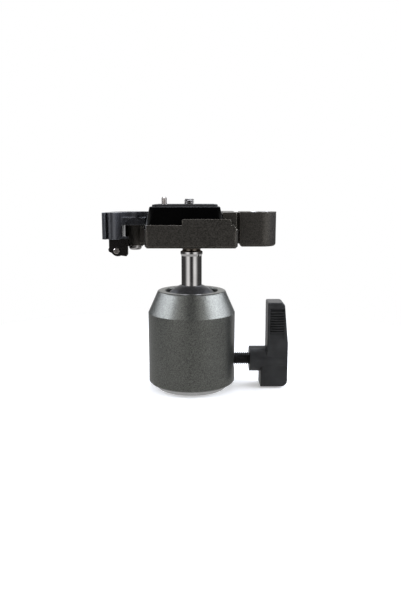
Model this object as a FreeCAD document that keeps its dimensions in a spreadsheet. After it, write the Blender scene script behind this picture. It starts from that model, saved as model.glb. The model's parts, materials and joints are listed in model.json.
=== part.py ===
import FreeCAD, Part
import math
import os
import Sketcher
from FreeCAD import Placement, Rotation, Vector

# Tripod ball head. Millimetres, +Z up, +X towards the locking knob.
# The origin is the mouth of the tripod thread, in the middle of the base.

doc = FreeCAD.newDocument("ball_head")
sheet = doc.addObject("Spreadsheet::Sheet", "Sizes")

# Driving sizes

SIZES = {
    # Housing and ball
    "housing_rad": 27.5,
    "housing_bottom": 3.6,
    "cone_tall": 14.0,
    "rim_rise": 15.5,
    "rim_wide": 4.8,
    "lip_depth": 3.8,
    "lip_gap": 0.2,
    "ring_room": 1.3,
    "ball_rad": 20.0,
    "notch_wide": 15.0,
    "seat_gap": 0.12,
    "slide_gap": 0.12,
    "fit_gap": 0.08,
    "cup_floor": 1.8,
    "cup_tall": 7.8,
    # Base
    "disc_lip": 1.3,
    "spigot_top": 10.4,
    "insert_rad": 8.0,
    "flange_wide": 1.6,
    "tripod_rad": 4.81,
    "tripod_deep": 9.4,
    # Knob, wedge and piston
    "screw_z": 17.9,
    "stud_rad": 4.0,
    "stud_shown": 9.5,
    "dog_step": 1.3,
    "bush_wall": 2.5,
    "hub_rad": 8.15,
    "hub_long": 6.9,
    "knob_thick": 13.1,
    "knob_long": 24.0,
    "wing_rise": 37.6,
    "foot_drop": 16.9,
    "knob_half": 7.6,
    "wedge_back": -9.0,
    "wedge_front": 13.0,
    "wedge_wide": 12.0,
    "ramp_rise": 5.5,
    "piston_roof": 2.4,
    # Stem
    "stem_rad": 6.45,
    "stem_long": 42.9,
    "neck_rad": 5.7,
    "spigot_rad": 5.0,
    "bolt_rad": 3.0,
    "washer_rad": 10.0,
    "washer_thick": 0.9,
    # Clamp
    "tray_tall": 11.0,
    "low_wall": 2.5,
    "high_wall": 6.0,
    "jaw_tall": 9.8,
    "jaw_gap": 0.25,
    "tray_lead": 0.6,
    "tray_tail": 7.0,
    "tray_side": 3.4,
    "wall_thick": 2.4,
    "level_reach": 15.2,
    "level_y": 2.0,
    "level_rad": 10.0,
    "trigger_x": -20.0,
    # Plate
    "plate_left": -27.8,
    "plate_right": 20.5,
    "plate_half": 21.6,
    "plate_gap": 0.2,
    "plate_tall": 13.0,
    "pad_thick": 1.0,
    "plate_slope": 14.4,
    "camera_x": -1.4,
    "camera_rad": 3.175,
    "camera_rise": 3.38,
    "screw_head": 7.5,
    "video_x": -16.8,
    "video_rad": 1.6,
    "video_rise": 4.58,
    # Lever and catch
    "pivot_back": 8.8,
    "pivot_y": 8.0,
    "pivot_rad": 3.0,
    "lug_rad": 6.2,
    "lug_rise": 1.2,
    "web_thick": 3.7,
    "grip_tall": 15.8,
    "catch_back": 9.8,
    "catch_drop": 2.8,
    "catch_rad": 1.25,
}


class Size:
    """A size that is both an expression for the sheet and a plain number."""

    def __init__(self, text, value):
        self.text = text
        self.value = float(value)

    def __add__(self, other):
        other = size(other)
        return Size(f"({self.text} + {other.text})", self.value + other.value)

    def __sub__(self, other):
        other = size(other)
        return Size(f"({self.text} - {other.text})", self.value - other.value)

    def __mul__(self, other):
        other = size(other)
        return Size(f"({self.text} * {other.text})", self.value * other.value)

    def __truediv__(self, other):
        other = size(other)
        return Size(f"({self.text} / {other.text})", self.value / other.value)

    def __neg__(self):
        return Size(f"(0 - {self.text})", -self.value)

    def __radd__(self, other):
        return size(other) + self

    def __rsub__(self, other):
        return size(other) - self

    def __rmul__(self, other):
        return size(other) * self


def size(item):
    return item if isinstance(item, Size) else Size(repr(float(item)), item)


def root(item):
    item = size(item)
    return Size(f"sqrt({item.text})", math.sqrt(item.value))


def tangent(item):
    item = size(item)
    return Size(f"tan({item.text})", math.tan(math.radians(item.value)))


for row, (alias, number) in enumerate(SIZES.items(), start=1):
    sheet.set(f"A{row}", alias.replace("_", " "))
    sheet.set(f"B{row}", str(number))
    sheet.setAlias(f"B{row}", alias)
doc.recompute()

S = {alias: Size(f"Sizes.{alias}", number) for alias, number in SIZES.items()}
PARTS = []

# Places and radii that follow from the sizes

S["bore_rad"] = S["ball_rad"] + S["ring_room"]
S["bore_fit"] = S["bore_rad"] - S["slide_gap"]
S["cup_rad"] = S["bore_rad"] - 2.3
S["disc_rad"] = S["bore_rad"] + S["disc_lip"]
S["insert_flange"] = S["insert_rad"] + S["flange_wide"]
S["piston_top"] = S["screw_z"] + S["stud_rad"] + S["piston_roof"]
S["cup_low"] = S["piston_top"] + 0.9
S["cup_top"] = S["cup_low"] + S["cup_tall"]
S["ball_z"] = S["cup_low"] + S["cup_floor"] + S["ball_rad"]
S["ring_low"] = S["ball_z"] + 3.0
S["rim_z"] = S["ball_z"] + S["rim_rise"]
S["shoulder_z"] = S["rim_z"] - S["cone_tall"]
S["lip_z"] = S["rim_z"] - S["lip_depth"]
lip_rise = S["lip_z"] - S["ball_z"]
S["mouth_rad"] = root(S["ball_rad"] * S["ball_rad"] - lip_rise * lip_rise) + S["lip_gap"]
S["rim_rad"] = S["mouth_rad"] + S["rim_wide"]
S["bush_rad"] = S["stud_rad"] + S["bush_wall"]
S["dog_rad"] = S["stud_rad"] - S["dog_step"]
S["ramp_low"] = S["screw_z"] + S["dog_rad"] + 0.4 - S["ramp_rise"]
S["hub_start"] = S["housing_rad"] + S["stud_shown"]
S["foot_left"] = S["hub_start"] + S["hub_long"]
S["knob_end"] = S["hub_start"] + S["knob_long"]
S["wing_left"] = S["knob_end"] - S["knob_thick"]
S["wing_top"] = S["screw_z"] + S["wing_rise"]
S["foot_low"] = S["screw_z"] - S["foot_drop"]
S["stem_seat"] = S["stem_rad"] + 0.5
S["ball_top"] = S["ball_z"] + root(
    S["ball_rad"] * S["ball_rad"] - S["stem_seat"] * S["stem_seat"]
)
S["stem_top"] = S["ball_z"] + S["stem_long"]
S["clamp_low"] = S["stem_top"] + S["washer_thick"]
S["floor_z"] = S["clamp_low"] + S["tray_tall"]
S["low_wall_z"] = S["floor_z"] + S["low_wall"]
S["high_wall_z"] = S["floor_z"] + S["high_wall"]
S["jaw_z"] = S["floor_z"] + S["jaw_tall"]
S["clamp_left"] = S["plate_left"] + S["tray_lead"]
S["clamp_right"] = S["plate_right"] + S["tray_tail"]
S["clamp_half"] = S["plate_half"] + S["tray_side"]
S["level_x"] = S["clamp_right"] + S["level_reach"]
S["plate_low"] = S["floor_z"] + S["plate_gap"]
S["plate_top"] = S["plate_low"] + S["plate_tall"]
S["pad_top"] = S["plate_top"] + S["pad_thick"] + 0.02
S["camera_top"] = S["pad_top"] + S["camera_rise"]
S["video_top"] = S["pad_top"] + S["video_rise"]
S["video_guide"] = S["video_rad"] + 0.4
S["pivot_x"] = S["clamp_left"] - S["pivot_back"]
S["lug_top"] = S["floor_z"] + S["lug_rise"]
S["lever_top"] = S["jaw_z"] - 0.1
S["web_low"] = S["lever_top"] - S["web_thick"]
S["grip_low"] = S["lever_top"] - S["grip_tall"]
S["catch_x"] = S["pivot_x"] - S["catch_back"]
S["catch_z"] = S["clamp_low"] - S["catch_drop"]


# Modelling helpers


def bind(item, prop, amount):
    item.setExpression(prop, size(amount).text)


def body(label, at=None):
    """A body with its label, placed at a bound point when one is given."""
    made = doc.addObject("PartDesign::Body", label)
    made.Label = label
    if at:
        for axis, amount in zip("xyz", at):
            bind(made, f".Placement.Base.{axis}", amount)
    PARTS.append(made)
    return made


def sketch(owner, plane, offset=0):
    """A sketch on one of the body's own origin planes, moved along its normal."""
    made = owner.newObject("Sketcher::SketchObject", f"{owner.Label}_sketch")
    base = next(f for f in owner.Origin.OriginFeatures if f.Role == f"{plane}_Plane")
    made.AttachmentSupport = [(base, "")]
    made.MapMode = "FlatFace"
    bind(made, ".AttachmentOffset.Base.z", offset)
    return made


def pin_point(drawing, index, end, x, y):
    """Dimensions that hold one end of a line or arc at a bound point."""
    for kind, amount, axis in (("DistanceX", size(x), -2), ("DistanceY", size(y), -1)):
        if amount.value == 0 and "Sizes" not in amount.text:
            drawing.addConstraint(Sketcher.Constraint("PointOnObject", index, end, axis))
            continue
        rule = Sketcher.Constraint(kind, -1, 1, index, end, amount.value)
        number = drawing.addConstraint(rule)
        if "Sizes" in amount.text:
            drawing.setExpression(f"Constraints[{number}]", amount.text)


def circle(drawing, x, y, radius):
    x, y, radius = size(x), size(y), size(radius)
    shape = Part.Circle(Vector(x.value, y.value, 0), Vector(0, 0, 1), radius.value)
    index = drawing.addGeometry(shape, False)
    pin_point(drawing, index, 3, x, y)
    number = drawing.addConstraint(Sketcher.Constraint("Radius", index, radius.value))
    if "Sizes" in radius.text:
        drawing.setExpression(f"Constraints[{number}]", radius.text)


def arc_between(start, end, radius):
    """The short arc between two points: a radius above 0 turns anticlockwise."""
    middle = (start + end) * 0.5
    half = (end - start).Length / 2
    across = Vector(start.y - end.y, end.x - start.x, 0).normalize()
    reach = math.sqrt(max(radius**2 - half**2, 0.0))
    centre = middle + across * math.copysign(reach, radius)
    first, last = (start, end) if radius > 0 else (end, start)
    angle_first = math.atan2(first.y - centre.y, first.x - centre.x)
    angle_last = math.atan2(last.y - centre.y, last.x - centre.x)
    round_path = Part.Circle(centre, Vector(0, 0, 1), abs(radius))
    return Part.ArcOfCircle(round_path, angle_first, angle_last)


def outline(drawing, points):
    """A closed outline. A third value on a point is the radius of the arc that leaves it."""
    count = len(points)
    flat = [Vector(size(p[0]).value, size(p[1]).value, 0) for p in points]
    ends = []
    for number, point in enumerate(points):
        start, end = flat[number], flat[(number + 1) % count]
        if len(point) == 2:
            index = drawing.addGeometry(Part.LineSegment(start, end), False)
            ends.append((index, 1, 2))
            continue
        radius = size(point[2])
        index = drawing.addGeometry(arc_between(start, end, radius.value), False)
        ends.append((index, 1, 2) if radius.value > 0 else (index, 2, 1))
        absolute = radius if radius.value > 0 else -radius
        held = drawing.addConstraint(Sketcher.Constraint("Radius", index, absolute.value))
        if "Sizes" in absolute.text:
            drawing.setExpression(f"Constraints[{held}]", absolute.text)
    for number, (index, first, last) in enumerate(ends):
        follower = ends[(number + 1) % count]
        drawing.addConstraint(
            Sketcher.Constraint("Coincident", index, last, follower[0], follower[1])
        )
        pin_point(drawing, index, first, points[number][0], points[number][1])


def rectangle(drawing, x0, y0, x1, y1):
    outline(drawing, [(x0, y0), (x1, y0), (x1, y1), (x0, y1)])


def extrude(owner, drawing, length, cut=False, both=False, back=False, taper=None):
    kind = "Pocket" if cut else "Pad"
    made = owner.newObject(f"PartDesign::{kind}", f"{owner.Label}_{kind.lower()}")
    made.Profile = drawing
    bind(made, "Length", length)
    made.SideType = "Symmetric" if both else "One side"
    made.Reversed = back
    if taper is not None:
        bind(made, "TaperAngle", taper)
    return made


def raise_up(owner, plane, offset, length, draw, **options):
    """Adds a prism that starts at the offset plane and goes along its normal."""
    drawing = sketch(owner, plane, offset)
    draw(drawing)
    return extrude(owner, drawing, length, **options)


def cut_up(owner, plane, offset, length, draw, **options):
    """Cuts a prism that starts at the offset plane and goes along its normal."""
    drawing = sketch(owner, plane, offset)
    draw(drawing)
    both = options.get("both", False)
    return extrude(owner, drawing, length, cut=True, back=not both, **options)


def turn(owner, plane, points, axis="V_Axis", cut=False, offset=0):
    """Revolves an outline about the upright or level axis of its sketch."""
    drawing = sketch(owner, plane, offset)
    outline(drawing, points)
    kind = "Groove" if cut else "Revolution"
    made = owner.newObject(f"PartDesign::{kind}", f"{owner.Label}_{kind.lower()}")
    made.Profile = drawing
    made.ReferenceAxis = (drawing, [axis])
    made.Angle = 360.0
    return made


def soften(owner, kind, amount, wanted):
    """Rounds or chamfers the edges of the tip that the test accepts."""
    doc.recompute()
    tip = owner.Tip
    names = [f"Edge{n}" for n, edge in enumerate(tip.Shape.Edges, start=1) if wanted(edge)]
    if not names:
        raise RuntimeError(f"{owner.Label}: no edge was found to soften")
    made = owner.newObject(f"PartDesign::{kind}", f"{owner.Label}_{kind.lower()}")
    made.Base = (tip, names)
    bind(made, "Radius" if kind == "Fillet" else "Size", amount)
    return made


def upright(edge):
    """Is the edge a straight line along Z?"""
    box = edge.BoundBox
    return box.XLength < 1e-4 and box.YLength < 1e-4 and box.ZLength > 1e-3


def level_at(edge, height):
    box = edge.BoundBox
    return abs(box.ZMin - height) < 1e-3 and abs(box.ZMax - height) < 1e-3


# Housing


def housing():
    made = body("housing")
    low, rim = S["housing_bottom"], S["rim_z"]
    lip = S["lip_z"]
    turn(made, "XZ", [
        (S["bore_rad"], low),
        (S["housing_rad"] - 0.8, low),
        (S["housing_rad"], low + 0.8),
        (S["housing_rad"], S["shoulder_z"]),
        (S["rim_rad"] + 0.5, rim - 1.0, 1.3),
        (S["rim_rad"] - 0.6, rim),
        (S["mouth_rad"] + 0.8, rim, 0.8),
        (S["mouth_rad"], rim - 0.8),
        (S["mouth_rad"], lip),
        (S["bore_rad"], lip),
    ])
    # Bore for the knob's bush, on the +X side
    side = sketch(made, "YZ", S["bore_rad"] - 2.0)
    circle(side, 0, S["screw_z"], S["bush_rad"] + 0.02)
    extrude(made, side, S["housing_rad"], cut=True, back=True)
    # Drop notch at the back, where the stem can lie level
    half = S["notch_wide"] / 2
    back = sketch(made, "XZ", 0)
    notch_outline(back, half, rim + 2.0)
    extrude(made, back, S["housing_rad"] + 2.0, cut=True)
    # Tapped hole for the screw that locks the base, at the back
    lock = sketch(made, "XZ", 0)
    circle(lock, 0, S["housing_bottom"] + 3.4, 1.55)
    extrude(made, lock, S["housing_rad"] + 2.0, cut=True)
    return made


def notch_outline(drawing, half, top):
    """An upright slot with a round bottom, centred on the ball."""
    outline(drawing, [
        (-half, top),
        (-half, S["ball_z"], half),
        (0, S["ball_z"] - half, half),
        (half, S["ball_z"]),
        (half, top),
    ])


def seat_ring():
    """Nylon ring under the lip, with a hollow that matches the ball."""
    made = body("seat_ring")
    inner = S["ball_rad"] + S["seat_gap"]
    low = S["ring_low"]
    top = S["lip_z"] - 0.05
    rise_low = low - S["ball_z"]
    rise_top = top - S["ball_z"]
    turn(made, "XZ", [
        (root(inner * inner - rise_low * rise_low), low),
        (S["bore_fit"], low),
        (S["bore_fit"], top),
        (root(inner * inner - rise_top * rise_top), top, -inner),
    ])
    half = S["notch_wide"] / 2
    back = sketch(made, "XZ", 0)
    notch_outline(back, half, S["rim_z"])
    extrude(made, back, S["housing_rad"], cut=True)
    return made


def ball():
    made = body("ball")
    rad = S["ball_rad"]
    top = S["ball_top"]
    hole = S["spigot_rad"] + 0.05
    turn(made, "XZ", [
        (0, S["ball_z"] - rad, rad),
        (rad, S["ball_z"], rad),
        (S["stem_seat"], top),
        (hole, top),
        (hole, top - 13.0),
        (0, top - 15.5),
    ])
    return made


def ball_cup():
    """Nylon cup under the ball, open in the middle."""
    made = body("ball_cup")
    inner = S["ball_rad"] + S["seat_gap"]
    drop_top = S["ball_z"] - S["cup_top"]
    hole = 4.0
    turn(made, "XZ", [
        (hole, S["cup_low"]),
        (S["cup_rad"] - 1.2, S["cup_low"]),
        (S["cup_rad"], S["cup_low"] + 1.2),
        (S["cup_rad"], S["cup_top"]),
        (root(inner * inner - drop_top * drop_top), S["cup_top"], -inner),
        (hole, S["ball_z"] - root(inner * inner - hole * hole)),
    ])
    return made


def friction_spring():
    """Dished spring washer that keeps the cup against the ball."""
    made = body("friction_spring")
    top = S["cup_low"] - 0.05
    turn(made, "XZ", [
        (8.0, top - 0.4),
        (15.0, top - 0.8),
        (15.0, top - 0.4),
        (8.0, top),
    ])
    return made


# Base


def base_disc():
    made = body("base_disc")
    turn(made, "XZ", [
        (S["insert_rad"], 0),
        (12.0, 0),
        (12.6, 0.6),
        (18.0, 0.6),
        (18.6, 0),
        (S["disc_rad"] - 0.5, 0),
        (S["disc_rad"], 0.5),
        (S["disc_rad"], S["housing_bottom"] - 0.02),
        (S["bore_fit"], S["housing_bottom"] - 0.02),
        (S["bore_fit"], S["spigot_top"]),
        (S["insert_flange"] + 0.1, S["spigot_top"]),
        (S["insert_flange"] + 0.1, S["spigot_top"] - 1.6),
        (S["insert_rad"], S["spigot_top"] - 1.6),
    ])
    keys = sketch(made, "XY", 0)
    for sign in (-1, 1):
        circle(keys, 0, sign * 15.3, 1.6)
    extrude(made, keys, 3.0, cut=True, back=True)
    return made


def thread_insert():
    """Steel bush with the tripod thread, held by a flange from inside."""
    made = body("thread_insert")
    turn(made, "XZ", [
        (S["tripod_rad"] + 0.5, 0),
        (S["insert_rad"] - 0.02, 0),
        (S["insert_rad"] - 0.02, S["spigot_top"] - 1.6),
        (S["insert_flange"], S["spigot_top"] - 1.6),
        (S["insert_flange"], S["spigot_top"]),
        (0, S["spigot_top"]),
        (0, S["tripod_deep"]),
        (S["tripod_rad"], S["tripod_deep"]),
        (S["tripod_rad"], 0.5),
    ])
    return made


def base_lock_screw():
    """Grub screw in the back of the housing that stops the base from unwinding."""
    made = body("base_lock_screw", (0, 0, S["housing_bottom"] + 3.4))
    drawing = sketch(made, "XZ", -(S["housing_rad"] - 0.6))
    circle(drawing, 0, 0, 1.5)
    extrude(made, drawing, S["housing_rad"] - 0.6 - S["bore_rad"])
    hexagon = sketch(made, "XZ", -(S["housing_rad"] - 0.6))
    across = 0.87
    outline(hexagon, [
        (across * math.cos(math.radians(60 * k)), across * math.sin(math.radians(60 * k)))
        for k in range(6)
    ])
    extrude(made, hexagon, 2.0, cut=True, back=True)
    return made


# Locking screw, wedge and piston


def knob_bush():
    """Brass bush in the housing wall that carries the locking screw's thread."""
    made = body("knob_bush", (0, 0, S["screw_z"]))
    hole = S["stud_rad"] + S["fit_gap"]
    turn(made, "XZ", [
        (S["bore_rad"] + 0.25, hole),
        (S["bore_rad"] + 0.25, S["bush_rad"]),
        (S["housing_rad"] - 1.0, S["bush_rad"]),
        (S["housing_rad"] - 0.7, S["bush_rad"] - 0.4),
        (S["housing_rad"] - 0.7, hole + 0.5),
        (S["housing_rad"] - 1.2, hole),
    ], axis="H_Axis")
    return made


def locking_screw():
    """Threaded stud: its plain end pushes the wedge, its knurled end is moulded in the knob."""
    made = body("locking_screw", (0, 0, S["screw_z"]))
    near = S["wedge_front"] + 0.05
    turn(made, "XZ", [
        (near, 0),
        (near, S["dog_rad"] - 0.5),
        (near + 0.5, S["dog_rad"]),
        (near + 2.4, S["dog_rad"]),
        (near + 3.4, S["stud_rad"]),
        (S["hub_start"], S["stud_rad"]),
        (S["hub_start"] + 15.0, S["stud_rad"]),
        (S["hub_start"] + 15.0, 0),
    ], axis="H_Axis")
    return made


def ramp_height(x):
    """Height of the wedge's top face at a place along X."""
    slope = S["ramp_rise"] / (S["wedge_front"] - S["wedge_back"])
    return S["ramp_low"] + slope * (x - S["wedge_back"])


def push_wedge():
    made = body("push_wedge")
    low = S["spigot_top"] + 0.15
    drawing = sketch(made, "XZ", 0)
    outline(drawing, [
        (S["wedge_back"] + 1.0, low),
        (S["wedge_front"], low),
        (S["wedge_front"], S["ramp_low"] + S["ramp_rise"]),
        (S["wedge_back"], S["ramp_low"]),
        (S["wedge_back"], low + 1.0),
    ])
    extrude(made, drawing, S["wedge_wide"], both=True)
    return made


def lift_piston():
    """Round piston with a sloping slot that rides up on the wedge."""
    made = body("lift_piston")
    low = S["spigot_top"] + 1.4
    top = S["piston_top"]
    out = S["bore_fit"]
    turn(made, "XZ", [
        (0, low),
        (out - 0.8, low),
        (out, low + 0.8),
        (out, top - 0.6),
        (out - 0.6, top),
        (0, top),
    ])
    slot = sketch(made, "XZ", 0)
    step = S["wedge_front"] + 2.4
    far_left = S["wedge_back"] - 1.0
    ceiling = S["screw_z"] + S["stud_rad"] + 0.75
    outline(slot, [
        (far_left, low - 1.0),
        (S["bore_rad"] + 1.0, low - 1.0),
        (S["bore_rad"] + 1.0, ceiling),
        (step + 0.6, ceiling),
        (step, ramp_height(step) + 0.12),
        (far_left, ramp_height(far_left) + 0.12),
    ])
    extrude(made, slot, S["wedge_wide"] + 0.4, cut=True, both=True)
    return made


def knob():
    """Moulded two-wing knob: a round hub, a long ribbed wing up and a short foot down."""
    made = body("knob")
    half = S["knob_half"]
    right = S["knob_end"]
    hub_top = S["screw_z"] + S["hub_rad"]
    hub_low = S["screw_z"] - S["hub_rad"]
    wing = sketch(made, "XZ", 0)
    outline(wing, [
        (S["foot_left"], S["foot_low"]),
        (right - 4.0, S["foot_low"], 4.0),
        (right, S["foot_low"] + 4.0),
        (right, hub_top + 3.0),
        (right - 2.4, S["wing_top"] - 2.6, 2.6),
        (right - 5.0, S["wing_top"]),
        (S["wing_left"] + 1.0, S["wing_top"], 1.0),
        (S["wing_left"], S["wing_top"] - 1.0),
        (S["wing_left"], hub_top - 1.0),
        (S["foot_left"], hub_low + 1.0),
    ])
    extrude(made, wing, half * 2, both=True)
    soften(made, "Fillet", 0.8, lambda e: on_broad_face(e, half.value))
    hub = sketch(made, "YZ", S["hub_start"])
    circle(hub, 0, S["screw_z"], S["hub_rad"])
    extrude(made, hub, right - S["hub_start"] - 1.0)
    # Dished grip faces with level ribs, front and back
    dish_low, dish_top = hub_top + 6.4, S["wing_top"] - 3.6
    for side in (-1, 1):
        dish = sketch(made, "YZ", S["wing_left"] + 1.5)
        edge = half * side
        deep = (half - 1.3) * side
        outline(dish, [
            (edge + 0.5 * side, dish_low - 1.0),
            (edge + 0.5 * side, dish_top + 1.0),
            (edge, dish_top),
            (deep, dish_top - 1.6),
            (deep, dish_low + 5.0),
            (edge, dish_low),
        ])
        extrude(made, dish, right - S["wing_left"] - 4.2, cut=True, back=True)
        for number in range(9):
            height = dish_top - 2.6 - 1.62 * number
            rib = sketch(made, "YZ", S["wing_left"] + 1.0)
            inner = (half - 1.8) * side
            outer = (half - 0.45) * side
            outline(rib, [
                (inner, height - 0.5),
                (outer, height - 0.22),
                (outer, height + 0.22),
                (inner, height + 0.5),
            ])
            extrude(made, rib, right - S["wing_left"] - 3.2)
    bore = sketch(made, "YZ", S["hub_start"])
    circle(bore, 0, S["screw_z"], S["stud_rad"] + 0.02)
    extrude(made, bore, 15.1, cut=True, back=True)
    return made


def on_broad_face(edge, half):
    """Does the edge bound the front or the back face of the knob?"""
    box = edge.BoundBox
    return abs(abs(box.YMin) - half) < 1e-3 and box.YLength < 1e-3


# Stem and clamp


def stem():
    """Polished stem: a spigot in the ball, a plain shaft and a waisted neck under the clamp."""
    made = body("stem")
    rad = S["stem_rad"]
    spigot = S["spigot_rad"]
    bolt = S["bolt_rad"] + 0.05
    foot = S["ball_top"] + 0.1
    top = S["stem_top"]
    turn(made, "XZ", [
        (0, foot - 12.6),
        (spigot - 0.6, foot - 12.6),
        (spigot, foot - 12.0),
        (spigot, foot),
        (rad, foot),
        (rad, top - 5.6),
        (rad + 0.55, top - 4.2),
        (rad + 0.55, top - 2.9),
        (S["neck_rad"], top - 2.1),
        (S["neck_rad"], top - 1.3),
        (rad + 1.4, top - 0.6),
        (rad + 1.4, top),
        (bolt, top),
        (bolt, top - 15.0),
        (0, top - 16.8),
    ])
    return made


def stem_washer():
    made = body("stem_washer")
    low = S["stem_top"] + 0.02
    high = S["clamp_low"] - 0.02
    turn(made, "XZ", [
        (S["bolt_rad"] + 0.3, low),
        (S["washer_rad"] - 0.2, low),
        (S["washer_rad"], low + 0.2),
        (S["washer_rad"], high),
        (S["bolt_rad"] + 0.3, high),
    ])
    return made


def clamp_bolt():
    """Socket screw that holds the clamp on the stem."""
    made = body("clamp_bolt")
    rad = S["bolt_rad"]
    head = rad + 2.0
    seat = S["floor_z"] - 5.0
    turn(made, "XZ", [
        (0, S["stem_top"] - 13.0),
        (rad - 0.4, S["stem_top"] - 13.0),
        (rad, S["stem_top"] - 12.6),
        (rad, seat),
        (head, seat),
        (head, seat + 4.4),
        (head - 0.4, seat + 4.8),
        (0, seat + 4.8),
    ])
    socket = sketch(made, "XY", seat + 4.8)
    across = 2.9
    outline(socket, [
        (across * math.cos(math.radians(60 * k)), across * math.sin(math.radians(60 * k)))
        for k in range(6)
    ])
    extrude(made, socket, 3.0, cut=True)
    return made


def clamp_body():
    """Cast clamp: a cored tray with lipped walls, a dovetail jaw, a level boss and a lever lug."""
    made = body("clamp_body")
    low, floor = S["clamp_low"], S["floor_z"]
    left, right, half = S["clamp_left"], S["clamp_right"], S["clamp_half"]
    wall = S["wall_thick"]
    # Tray
    raise_up(made, "XY", low, floor - low, lambda d: rectangle(d, left, -half, right, half))
    soften(made, "Fillet", 2.2, upright)
    soften(made, "Chamfer", 1.2, lambda e: level_at(e, low.value))
    # Front and back walls, each with a low end and a high end
    for side in (-1, 1):
        drawing = sketch(made, "XZ", half * (-side) if side > 0 else half)
        step = S["high_wall_z"] - 0.8
        outline(drawing, [
            (left + 1.2, floor - 1.0),
            (right - 1.2, floor - 1.0),
            (right - 1.2, S["low_wall_z"] - 1.2),
            (right - 2.4, S["low_wall_z"]),
            (right - 4.0, S["low_wall_z"]),
            (right - 4.0, S["high_wall_z"] - 1.2, 1.2),
            (right - 5.2, S["high_wall_z"]),
            (-4.3, S["high_wall_z"], 0.8),
            (-5.1, step),
            (-5.1, S["low_wall_z"]),
            (left + 1.8, S["low_wall_z"], 0.6),
            (left + 1.2, S["low_wall_z"] - 0.6),
        ])
        extrude(made, drawing, wall, back=side < 0)
    # Fixed jaw, undercut to the slope of the plate
    slope = tangent(S["plate_slope"])
    foot = S["plate_right"] + S["jaw_gap"]
    jaw = sketch(made, "XZ", 0)
    rise = S["jaw_z"] - S["plate_low"]
    outline(jaw, [
        (foot, floor - 1.0),
        (right - 0.6, floor - 1.0),
        (right - 0.6, S["jaw_z"] - 0.6, 0.6),
        (right - 1.2, S["jaw_z"]),
        (foot - slope * rise + 0.8, S["jaw_z"]),
        (foot - slope * (rise - 0.8), S["jaw_z"] - 0.8),
        (foot, S["plate_low"]),
    ])
    extrude(made, jaw, (half - 6.0) * 2, both=True)
    # Level boss beyond the jaw, with a deep groove between them
    boss_low = low - 0.4
    x, y, rad = S["level_x"], S["level_y"], S["level_rad"]
    boss = sketch(made, "XY", boss_low)
    outline(boss, [
        (right + 2.2, y - rad),
        (x, y - rad, rad),
        (x + rad, y, rad),
        (x, y + rad),
        (right + 2.2, y + rad),
    ])
    extrude(made, boss, S["jaw_z"] - boss_low)
    soften(made, "Fillet", 1.8, lambda e: level_at(e, boss_low.value))
    raise_up(made, "XY", low + 1.4, S["jaw_z"] - low - 1.8,
             lambda d: rectangle(d, right - 2.0, y - 6.0, right + 4.0, y + 6.0))
    cut_up(made, "XY", S["jaw_z"] - 5.2, 8.0, lambda d: circle(d, x, y, 7.5))
    # Lever lug on the left and its web
    pivot_x, pivot_y = S["pivot_x"], S["pivot_y"]
    raise_up(made, "XY", low - 0.4, S["lug_top"] - low + 0.4,
             lambda d: circle(d, pivot_x, pivot_y, S["lug_rad"]))
    raise_up(made, "XY", low + 1.0, S["lug_top"] - low - 2.0,
             lambda d: rectangle(d, pivot_x, pivot_y - 5.0, left + 1.0, pivot_y + 5.0))
    cut_up(made, "XY", low - 2.0, S["jaw_z"] - low,
           lambda d: circle(d, pivot_x, pivot_y, S["pivot_rad"] + S["fit_gap"]))
    # Pockets in the underside, round a middle boss and its ribs
    roof = floor - 3.0
    for sx in (-1, 1):
        for sy in (-1, 1):
            cut_up(made, "XY", low - 1.0, roof - low + 1.0,
                   lambda d, sx=sx, sy=sy: core_pocket(d, sx, sy))
    # Seat for the stem bolt and its washer
    cut_up(made, "XY", low - 1.0, floor - low + 3.0, lambda d: circle(d, 0, 0, S["bolt_rad"] + 0.25))
    cut_up(made, "XY", floor - 5.0, 9.0, lambda d: circle(d, 0, 0, S["bolt_rad"] + 2.3))
    # Guide for the trigger pin
    cut_up(made, "XY", low - 2.0, 9.6, lambda d: circle(d, S["trigger_x"], 0, 3.0))
    cut_up(made, "XY", low, 16.0, lambda d: circle(d, S["trigger_x"], 0, 2.08))
    return made


def core_pocket(drawing, side_x, side_y):
    """One of four pockets, an L round the middle boss."""
    outer_x = (S["clamp_right"] - 3.6) if side_x > 0 else (S["clamp_left"] + 3.6)
    outer_y = (S["clamp_half"] - 3.6) * side_y
    rib = 1.4
    boss = 12.0
    outline(drawing, [
        (boss * side_x, 5.0 * side_y),
        (outer_x, 5.0 * side_y),
        (outer_x, outer_y),
        (rib * side_x, outer_y),
        (rib * side_x, boss * side_y),
        (boss * 0.72 * side_x, boss * 0.72 * side_y),
    ])


def trigger_pin():
    """Pin that the plate presses down; it holds the lever open when the plate is off."""
    made = body("trigger_pin", (S["trigger_x"], 0, 0))
    top = S["plate_low"] - 0.05
    seat = S["clamp_low"] + 7.0
    turn(made, "XZ", [
        (0, seat - 2.6),
        (1.4, seat - 2.6),
        (1.4, seat - 1.0),
        (2.8, seat - 1.0),
        (2.8, seat),
        (2.0, seat),
        (2.0, top - 0.6),
        (1.4, top),
        (0, top),
    ])
    return made


def trigger_plug():
    made = body("trigger_plug", (S["trigger_x"], 0, 0))
    turn(made, "XZ", [
        (0, S["clamp_low"] + 0.3),
        (2.98, S["clamp_low"] + 0.3),
        (2.98, S["clamp_low"] + 1.5),
        (0, S["clamp_low"] + 1.5),
    ])
    return made


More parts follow.
